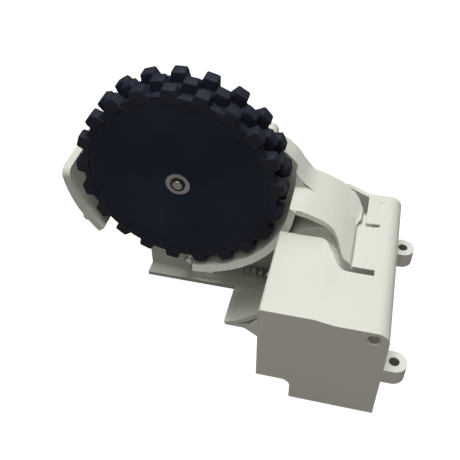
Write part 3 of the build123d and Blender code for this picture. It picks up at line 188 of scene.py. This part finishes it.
def build_moulded_grain():
    """Fine spark-eroded grain with a slow drift of tone, for every moulded piece."""
    group, given, made = new_group(
        "moulded_grain",
        [
            ("Colour", "NodeSocketColor", (0.5, 0.5, 0.5, 1)),
            ("Grain size", "NodeSocketFloat", 2500.0),
            ("Grain depth", "NodeSocketFloat", 0.08),
            ("Tone drift", "NodeSocketFloat", 0.03),
            ("Roughness", "NodeSocketFloat", 0.5),
        ],
        [("Colour", "NodeSocketColor"), ("Roughness", "NodeSocketFloat"), ("Normal", "NodeSocketVector")],
    )
    tree, link = group.nodes, group.links.new
    place = tree.new("ShaderNodeTexCoord")
    grain = tree.new("ShaderNodeTexNoise")
    grain.inputs["Detail"].default_value = 2.0
    link(place.outputs["Object"], grain.inputs["Vector"])
    link(given.outputs["Grain size"], grain.inputs["Scale"])
    bump = tree.new("ShaderNodeBump")
    bump.inputs["Distance"].default_value = 0.05 * MM
    link(given.outputs["Grain depth"], bump.inputs["Strength"])
    link(grain.outputs["Fac"], bump.inputs["Height"])
    cloud = tree.new("ShaderNodeTexNoise")
    cloud.inputs["Scale"].default_value = 45.0
    cloud.inputs["Detail"].default_value = 1.0
    link(place.outputs["Object"], cloud.inputs["Vector"])
    spread = tree.new("ShaderNodeMapRange")
    spread.inputs["From Min"].default_value = 0.3
    spread.inputs["From Max"].default_value = 0.7
    spread.inputs["To Max"].default_value = 1.0
    low = tree.new("ShaderNodeMath")
    low.operation = "SUBTRACT"
    low.inputs[0].default_value = 1.0
    link(given.outputs["Tone drift"], low.inputs[1])
    link(low.outputs[0], spread.inputs["To Min"])
    link(cloud.outputs["Fac"], spread.inputs["Value"])
    tone = tree.new("ShaderNodeVectorMath")
    tone.operation = "SCALE"
    link(given.outputs["Colour"], tone.inputs[0])
    link(spread.outputs["Result"], tone.inputs["Scale"])
    rough = tree.new("ShaderNodeMath")
    rough.operation = "DIVIDE"
    link(given.outputs["Roughness"], rough.inputs[0])
    link(spread.outputs["Result"], rough.inputs[1])
    link(tone.outputs["Vector"], made.inputs["Colour"])
    link(rough.outputs[0], made.inputs["Roughness"])
    link(bump.outputs["Normal"], made.inputs["Normal"])
    return group


def build_turned_marks():
    """Fine rings left by turning or drawing, about the Y axis through a centre."""
    group, given, made = new_group(
        "turned_marks",
        [
            ("Vector", "NodeSocketVector", (0, 0, 0)),
            ("Ring count", "NodeSocketFloat", 900.0),
            ("Depth", "NodeSocketFloat", 0.15),
            ("Roughness", "NodeSocketFloat", 0.3),
        ],
        [("Roughness", "NodeSocketFloat"), ("Normal", "NodeSocketVector")],
    )
    tree, link = group.nodes, group.links.new
    rings = tree.new("ShaderNodeTexWave")
    rings.wave_type = "RINGS"
    rings.rings_direction = "Y"
    rings.inputs["Distortion"].default_value = 1.2
    rings.inputs["Detail"].default_value = 2.0
    link(given.outputs["Vector"], rings.inputs["Vector"])
    link(given.outputs["Ring count"], rings.inputs["Scale"])
    bump = tree.new("ShaderNodeBump")
    bump.inputs["Distance"].default_value = 0.02 * MM
    link(given.outputs["Depth"], bump.inputs["Strength"])
    link(rings.outputs["Fac"], bump.inputs["Height"])
    rough = tree.new("ShaderNodeMapRange")
    link(rings.outputs["Fac"], rough.inputs["Value"])
    link(given.outputs["Roughness"], rough.inputs["To Min"])
    rough_high = tree.new("ShaderNodeMath")
    rough_high.operation = "MULTIPLY"
    rough_high.inputs[1].default_value = 1.3
    link(given.outputs["Roughness"], rough_high.inputs[0])
    link(rough_high.outputs[0], rough.inputs["To Max"])
    link(rough.outputs["Result"], made.inputs["Roughness"])
    link(bump.outputs["Normal"], made.inputs["Normal"])
    return group


MOULDED_GRAIN = build_moulded_grain()
TURNED_MARKS = build_turned_marks()


def new_material(name):
    """A material, its nodes, the function that links their sockets, and its Principled shader."""
    material = bpy.data.materials.new(name)
    material.use_nodes = True
    tree = material.node_tree
    return material, tree.nodes, tree.links.new, tree.nodes["Principled BSDF"]


def moulded(name, colour, roughness, grain_size=2500.0, grain_depth=0.08, tone_drift=0.03, specular=0.5):
    """A moulded plastic or rubber with its grain."""
    material, tree, link, shader = new_material(name)
    grain = tree.new("ShaderNodeGroup")
    grain.node_tree = MOULDED_GRAIN
    grain.inputs["Colour"].default_value = (*colour, 1)
    grain.inputs["Grain size"].default_value = grain_size
    grain.inputs["Grain depth"].default_value = grain_depth
    grain.inputs["Tone drift"].default_value = tone_drift
    grain.inputs["Roughness"].default_value = roughness
    shader.inputs["Specular IOR Level"].default_value = specular
    link(grain.outputs["Colour"], shader.inputs["Base Color"])
    link(grain.outputs["Roughness"], shader.inputs["Roughness"])
    link(grain.outputs["Normal"], shader.inputs["Normal"])
    return material


def turned_metal(name, colour, roughness, centre):
    """A bare metal with turning rings about its own axis."""
    material, tree, link, shader = new_material(name)
    place = tree.new("ShaderNodeTexCoord")
    shift = tree.new("ShaderNodeMapping")
    shift.inputs["Location"].default_value = -Vector(centre)
    marks = tree.new("ShaderNodeGroup")
    marks.node_tree = TURNED_MARKS
    marks.inputs["Roughness"].default_value = roughness
    link(place.outputs["Object"], shift.inputs["Vector"])
    link(shift.outputs["Vector"], marks.inputs["Vector"])
    shader.inputs["Base Color"].default_value = (*colour, 1)
    shader.inputs["Metallic"].default_value = 1.0
    link(marks.outputs["Roughness"], shader.inputs["Roughness"])
    link(marks.outputs["Normal"], shader.inputs["Normal"])
    return material


SHELL = moulded("warm_white_shell", (0.765, 0.772, 0.68), 0.42, grain_depth=0.05, tone_drift=0.02)
SLEEVE = moulded("grey_motor_sleeve", (0.82, 0.83, 0.8), 0.35)
# Painted shade: a dark grey lining for the ear holes, standing in for the shade deep inside them; the
# housing itself is white.
BORE_SHADE_PAINT = moulded("painted_bore_shade", (0.3, 0.3, 0.28), 0.6)
RUBBER = moulded(
    "navy_tread_rubber", (0.018, 0.0225, 0.038), 0.6,
    grain_size=1400.0, grain_depth=0.25, tone_drift=0.2, specular=0.28,
)
# The disc's strong tone drift is partly painted shade: random lighter and darker patches, turned up to
# stand in for the light and shade across the dished disc.
DISC = moulded(
    "navy_wheel_disc", (0.026, 0.038, 0.064), 0.55,
    grain_size=1800.0, grain_depth=0.12, tone_drift=0.3, specular=0.08,
)
BLACK = moulded("black_plastic", (0.02, 0.02, 0.022), 0.5)
RED = moulded("switch_red", (0.35, 0.02, 0.015), 0.4)
ACETAL = moulded("gear_acetal", (0.72, 0.7, 0.62), 0.35)
BOARD = moulded("solder_mask", (0.01, 0.09, 0.04), 0.3)
FERRITE = moulded("bonded_ferrite", (0.03, 0.03, 0.03), 0.6)

STEEL = turned_metal("turned_steel", (0.46, 0.475, 0.47), 0.34, middle("wheel_axle"))
PIN_STEEL = turned_metal("pin_steel", (0.38, 0.38, 0.37), 0.42, middle("hinge_pin"))
CAN_STEEL = turned_metal("drawn_can", (0.62, 0.62, 0.62), 0.28, middle("motor_can"))
BLACKED = turned_metal("blacked_ring", (0.05, 0.05, 0.05), 0.45, middle("retaining_ring"))
SPRING_WIRE = turned_metal("spring_wire", (0.5, 0.5, 0.48), 0.3, middle("extension_spring"))
BRASS = turned_metal("pinion_brass", (0.72, 0.52, 0.2), 0.3, middle("motor_pinion"))
BRONZE = turned_metal("sintered_bronze", (0.5, 0.33, 0.16), 0.5, middle("near_bush"))

# Finishes of the nodes whose CAD shape is shown as it is
FINISHES = {
    "gearbox_cover": SHELL, "motor_sleeve": SLEEVE, "hinge_pin": PIN_STEEL, "cover_screws": STEEL,
    "drop_switch": BLACK, "switch_plunger": RED, "extension_spring": SPRING_WIRE, "motor_can": CAN_STEEL,
    "motor_end_cap": BLACK, "motor_terminals": BRASS, "encoder_board": BOARD, "near_bush": BRONZE,
    "far_bush": BRONZE, "first_gear_pin": STEEL, "second_gear_pin": STEEL, "motor_shaft": CAN_STEEL,
    "motor_pinion": BRASS, "encoder_magnet": FERRITE, "first_gear": ACETAL, "second_gear": ACETAL,
    "output_gear": ACETAL, "wheel_axle": STEEL, "hub_washer": STEEL, "retaining_ring": BLACKED,
}


def mesh_object(name, shape):
    """Puts a finished bmesh into the scene as an object at the origin."""
    mesh = bpy.data.meshes.new(name)
    shape.to_mesh(mesh)
    shape.free()
    piece = bpy.data.objects.new(name, mesh)
    bpy.context.scene.collection.objects.link(piece)
    return piece


def coat(piece, material):
    """Gives a piece its one material."""
    piece.data.materials.clear()
    piece.data.materials.append(material)


def smooth_piece(name, shape, material, body, sharp_from=SOFT_EDGE):
    """A piece on a body, shaded smooth between its sharp edges."""
    for face in shape.faces:
        face.smooth = True
    piece = mesh_object(name, shape)
    piece.data.set_sharp_from_angle(angle=sharp_from)
    coat(piece, material)
    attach(piece, body)
    return piece


def at_hinge(x, depth, z):
    """A point given in mm from the hinge, in the scene."""
    return HINGE + Vector((x, depth, z)) * MM


def from_hinge(point):
    """A point of the scene, in mm from the hinge."""
    return (point - HINGE) / MM


def spun(profile, centre, steps):
    """A shape turned about the Y axis through centre, from pairs of depth and radius."""
    shape = bmesh.new()
    corners = [shape.verts.new((centre.x + radius, depth, centre.z)) for depth, radius in profile]
    rim = [shape.edges.new(pair) for pair in zip(corners, corners[1:])]
    bmesh.ops.spin(
        shape, geom=corners + rim, cent=centre, axis=(0, 1, 0), angle=2 * pi, steps=steps, use_merge=True,
    )
    bmesh.ops.remove_doubles(shape, verts=shape.verts, dist=WELD)
    bmesh.ops.recalc_face_normals(shape, faces=shape.faces)
    return shape


def softened(node, body, width, material, reshape=None, finish=None):
    """A merged copy of a CAD node whose moulded edges are rounded by width."""
    shape = bmesh.new()
    shape.from_mesh(nodes[node].data)
    bmesh.ops.remove_doubles(shape, verts=shape.verts, dist=MERGE)
    if reshape:
        reshape(shape)
    bmesh.ops.dissolve_limit(shape, angle_limit=NEARLY_FLAT, verts=shape.verts, edges=shape.edges)
    if finish:
        finish(shape)
    for face in shape.faces:
        face.smooth = True
    piece = mesh_object(node + "_moulded", shape)
    rounding = piece.modifiers.new("edge rounding", "BEVEL")
    rounding.width = width
    rounding.segments = 2
    rounding.limit_method = "ANGLE"
    rounding.angle_limit = MOULDED_EDGE
    rounding.use_clamp_overlap = True
    flat = piece.modifiers.new("flat faces", "WEIGHTED_NORMAL")
    flat.mode = "FACE_AREA"
    flat.weight = 100
    flat.keep_sharp = True
    coat(piece, material)
    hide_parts(node)
    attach(piece, body)


def end_web(shape):
    """Ends the web under the scoop behind the box."""
    near, far = WEB_DEPTHS
    for vert in shape.verts:
        x, depth, z = from_hinge(vert.co)
        if near < depth < far and x < WEB_LEFT and z < SCOOP_BOTTOM:
            vert.co = at_hinge(WEB_LEFT, depth, z)


def round_scoop(shape):
    """Rounds the scoop's near corner."""
    corner = set()
    for vert in shape.verts:
        x, depth, z = from_hinge(vert.co)
        if (Vector((x, depth)) - Vector(SCOOP_CORNER)).length * MM < ON_PLACE and z < SCOOP_BOTTOM:
            corner.add(vert)
    upright = [edge for edge in shape.edges if corner.issuperset(edge.verts)]
    bmesh.ops.bevel(
        shape, geom=upright, offset=SCOOP_ROUNDING * MM, affect="EDGES", segments=5, profile=0.5,
        material=-1, clamp_overlap=True,
    )


def lean_guard(shape):
    """Leans the inside of the mudguard's near rim back."""
    wheel = middle("tyre")
    for vert in shape.verts:
        radius = Vector((vert.co.x - wheel.x, vert.co.z - wheel.z)).length
        on_rim = abs(vert.co.y - HINGE.y - GUARD_NEAR) < ON_PLACE
        if on_rim and abs(radius - GUARD_RADIUS) < ON_PLACE:
            vert.co.y += GUARD_TILT


def ramp_corner(shape):
    """Lets the shell's back corner rise without a step."""
    for (x, z), moved in CORNER_RAMP.items():
        step = at_hinge(x, CORNER_NEAR, z)
        for vert in shape.verts:
            if (vert.co - step).length < ON_PLACE:
                vert.co = at_hinge(*moved)


def shape_casing(shape):
    """The arm casing's two forms that its CAD solid lacks."""
    lean_guard(shape)
    ramp_corner(shape)


def pin_head(material):
    """The pin's turned head in its recess in the near wall."""
    profile = [(HINGE.y + depth * MM, radius * MM) for depth, radius in PIN_HEAD]
    shape = spun(profile, HINGE, PIN_STEPS)
    smooth_piece("pin_head", shape, material, "housing", sharp_from=TURNED_EDGE)


def ear_bores_painted_shade(material):
    """Painted shade: dark sheets lining the two screw holes, standing in for the shade deep inside them.
    """
    low, high = EAR_BORE_ENDS
    shape = bmesh.new()
    for y in (-EAR_SPACING / 2, EAR_SPACING / 2):
        place = Vector((0, y, (low + high) / 2)) * MM
        bmesh.ops.create_cone(
            shape, segments=BORE_STEPS, radius1=EAR_BORE_RADIUS * MM, radius2=EAR_BORE_RADIUS * MM,
            depth=(high - low) * MM, matrix=Matrix.Translation(place),
        )
    bmesh.ops.reverse_faces(shape, faces=shape.faces)
    smooth_piece("ear_bores_painted_shade", shape, material, "housing")


def bridged(rows):
    """A sheet through rows of as many points each."""
    shape = bmesh.new()
    lines = []
    for row in rows:
        points = [shape.verts.new(point) for point in row]
        lines.append([shape.edges.new(pair) for pair in zip(points, points[1:])])
    for one, two in zip(lines, lines[1:]):
        bmesh.ops.bridge_loops(shape, edges=one + two)
    bmesh.ops.recalc_face_normals(shape, faces=shape.faces)
    return shape


def height_at(line, x):
    """The height of a polyline at x."""
    for (x0, z0), (x1, z1) in zip(line, line[1:]):
        if x <= x1:
            return z0 + (z1 - z0) * (x - x0) / (x1 - x0)
    return line[-1][1]


def cup_row(x, depth):
    """One upright line of the wall under the shell's lip, and its line over the motor."""
    from_motor = x - MOTOR_CENTRE[0]
    roof = MOTOR_CENTRE[1] + (CUP_RADIUS ** 2 - from_motor ** 2) ** 0.5
    top = min(height_at(SHELL_UNDERSIDE, x), roof)
    return [
        at_hinge(x, depth, CUP_BOTTOM),
        at_hinge(x, depth, top - CUP_EDGE),
        at_hinge(x, depth + CUP_EDGE_BEND, top - CUP_EDGE_BEND),
        at_hinge(x, depth + CUP_EDGE, top),
        at_hinge(x, CUP_FAR, top),
    ]


def motor_cup(material):
    """The arm's own wall under the shell's lip, upright along the S, with a round roof over the motor."""
    plan = [Vector(CUP_PLAN[0][0])]
    for knots in CUP_PLAN:
        plan += interpolate_bezier(*knots, CUP_STEPS)[1:]
    rows = [cup_row(point.x, point.y) for point in plan]
    smooth_piece("motor_cup", bridged(rows), material, "arm")


def shell_fold(material):
    """The soft fold where the hump runs out into the shell, along a quadratic curve."""
    start, pull, end = (Vector(knot) for knot in FOLD_PROFILE)
    profile = interpolate_bezier(start, start.lerp(pull, 2 / 3), end.lerp(pull, 2 / 3), end, FOLD_STEPS)
    rows = [[at_hinge(point.x, depth, point.y) for depth in FOLD_DEPTHS] for point in profile]
    smooth_piece("shell_fold", bridged(rows), material, "arm")


def tread_ring(centre):
    """The tyre's band under the lugs, with a small lip at each side."""
    low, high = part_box("tyre")
    near, far = low[1] + TYRE_LIP, high[1]
    crest = low[1] + SHOULDER_WIDTH
    profile = [
        (near, TYRE_INSIDE),
        (near, SHOULDER_RADIUS - SHOULDER_EDGE),
        (near + SHOULDER_EDGE, SHOULDER_RADIUS),
        (crest, SHOULDER_RADIUS),
        (crest + SHOULDER_RADIUS - TREAD_BASE, TREAD_BASE),
        (far - TYRE_REAR_EDGE, TREAD_BASE),
        (far, TREAD_BASE - TYRE_REAR_EDGE),
        (far, TYRE_INSIDE),
        (near, TYRE_INSIDE),
    ]
    return spun(profile, centre, TYRE_STEPS)


def add_lug(tyre, centre, turned, near):
    """One tread block, tapered towards its tip, with rounded edges."""
    height = WHEEL_RADIUS - TREAD_BASE + LUG_SINK
    block = bmesh.ops.create_cube(tyre, size=1.0)["verts"]
    bmesh.ops.scale(tyre, vec=(height, LUG_LENGTH, LUG_FOOT_WIDTH), verts=block)
    tip = [v for v in block if v.co.x > 0]
    bmesh.ops.scale(tyre, vec=(1, LUG_END_TAPER, LUG_TIP_WIDTH / LUG_FOOT_WIDTH), verts=tip)
    edges = {e for v in tip for e in v.link_edges}
    rounded = bmesh.ops.bevel(
        tyre, geom=list(edges), offset=LUG_ROUNDING, affect="EDGES", segments=3, profile=0.5,
        material=-1, clamp_overlap=True,
    )
    whole = {v for v in block if v.is_valid} | set(rounded["verts"])
    seat = Vector((WHEEL_RADIUS - height / 2, near + LUG_LENGTH / 2, 0))
    bmesh.ops.translate(tyre, vec=seat, verts=list(whole))
    bmesh.ops.rotate(tyre, cent=(0, 0, 0), matrix=Matrix.Rotation(-turned, 3, "Y"), verts=list(whole))
    bmesh.ops.translate(tyre, vec=Vector((centre.x, 0, centre.z)), verts=list(whole))


def lugged_tyre(material):
    """The tyre with its rows of tread blocks, in place of the CAD's plain one."""
    centre = middle("tyre")
    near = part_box("tyre")[0][1]
    tyre = tread_ring(centre)
    for row in range(LUG_ROWS):
        for lug in range(LUGS_IN_ROW):
            turned = FIRST_LUG + 2 * pi * (lug + 0.5 * (row % 2)) / LUGS_IN_ROW
            add_lug(tyre, centre, turned, near + row * LUG_ROW_STEP)
    piece = smooth_piece("lugged_tyre", tyre, material, "wheel")
    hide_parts("tyre")


for name, material in FINISHES.items():
    nodes[name].data.materials.clear()
    nodes[name].data.materials.append(material)

softened(
    "base_housing", "housing", HOUSING_EDGE, SHELL, reshape=end_web, finish=round_scoop,
)
softened("arm_casing", "arm", ARM_EDGE, SHELL, reshape=shape_casing)
pin_head(PIN_STEEL)
ear_bores_painted_shade(BORE_SHADE_PAINT)
motor_cup(SHELL)
shell_fold(SHELL)
softened("wheel_disc", "wheel", DISC_EDGE, DISC)
lugged_tyre(RUBBER)


def floor_material():
    """A floor that the camera sees as white, and that throws little light up on the part."""
    material, tree, link, shader = new_material("pale_floor")
    shader.inputs["Base Color"].default_value = (*FLOOR_TINT, 1)
    shader.inputs["Roughness"].default_value = 1.0
    shader.inputs["Specular IOR Level"].default_value = 0.0
    rays = tree.new("ShaderNodeLightPath")
    glow = tree.new("ShaderNodeEmission")
    both = tree.new("ShaderNodeAddShader")
    link(rays.outputs["Is Camera Ray"], glow.inputs["Strength"])
    link(shader.outputs[0], both.inputs[0])
    link(glow.outputs[0], both.inputs[1])
    link(both.outputs[0], tree["Material Output"].inputs["Surface"])
    return material


def lay_floor():
    """The floor, at the height of the part's lowest point."""
    shape = bmesh.new()
    bmesh.ops.create_grid(shape, x_segments=1, y_segments=1, size=FLOOR_SIZE)
    bmesh.ops.translate(shape, vec=(0, 0, cad_box[0][2]), verts=shape.verts)
    floor = mesh_object("floor", shape)
    floor.data.materials.append(floor_material())


def soft_light(name, place, size, power):
    """A round soft light turned to the part."""
    lamp = bpy.data.lights.new(name, "AREA")
    lamp.shape = "DISK"
    lamp.size = size
    lamp.energy = power
    light = bpy.data.objects.new(name, lamp)
    light.location = place
    light.rotation_euler = (Vector(LIGHT_AIM) - Vector(place)).to_track_quat("-Z", "Y").to_euler()
    bpy.context.scene.collection.objects.link(light)


def light_room():
    """Soft light, mostly from straight above, with a little from behind and from the front."""
    for name, place, size, power in LIGHTS:
        soft_light(name, place, size, power)
    world = bpy.data.worlds.new("room")
    world.use_nodes = True
    tree, link = world.node_tree.nodes, world.node_tree.links.new
    room = tree["Background"]
    room.inputs["Color"].default_value = (1, 1, 1, 1)
    rays = tree.new("ShaderNodeLightPath")
    strength = tree.new("ShaderNodeMapRange")
    strength.inputs["To Min"].default_value = ROOM_GLOW
    strength.inputs["To Max"].default_value = 1.0
    link(rays.outputs["Is Camera Ray"], strength.inputs["Value"])
    link(strength.outputs["Result"], room.inputs["Strength"])
    bpy.context.scene.world = world


def set_camera():
    """The camera that the photograph was taken with, as fitted to it."""
    lens = bpy.data.cameras.new("photo_camera")
    lens.sensor_width = SENSOR
    lens.lens = LENS
    lens.clip_start = CLOSEST_SEEN
    camera = bpy.data.objects.new("photo_camera", lens)
    back = CAMERA_RIGHT.cross(CAMERA_UP)
    turn = Matrix((CAMERA_RIGHT, CAMERA_UP, back)).transposed()
    camera.matrix_world = Matrix.Translation(CAMERA_AT) @ turn.to_4x4()
    bpy.context.scene.collection.objects.link(camera)
    bpy.context.scene.camera = camera


lay_floor()
light_room()
set_camera()
bpy.context.scene.view_settings.view_transform = "Standard"
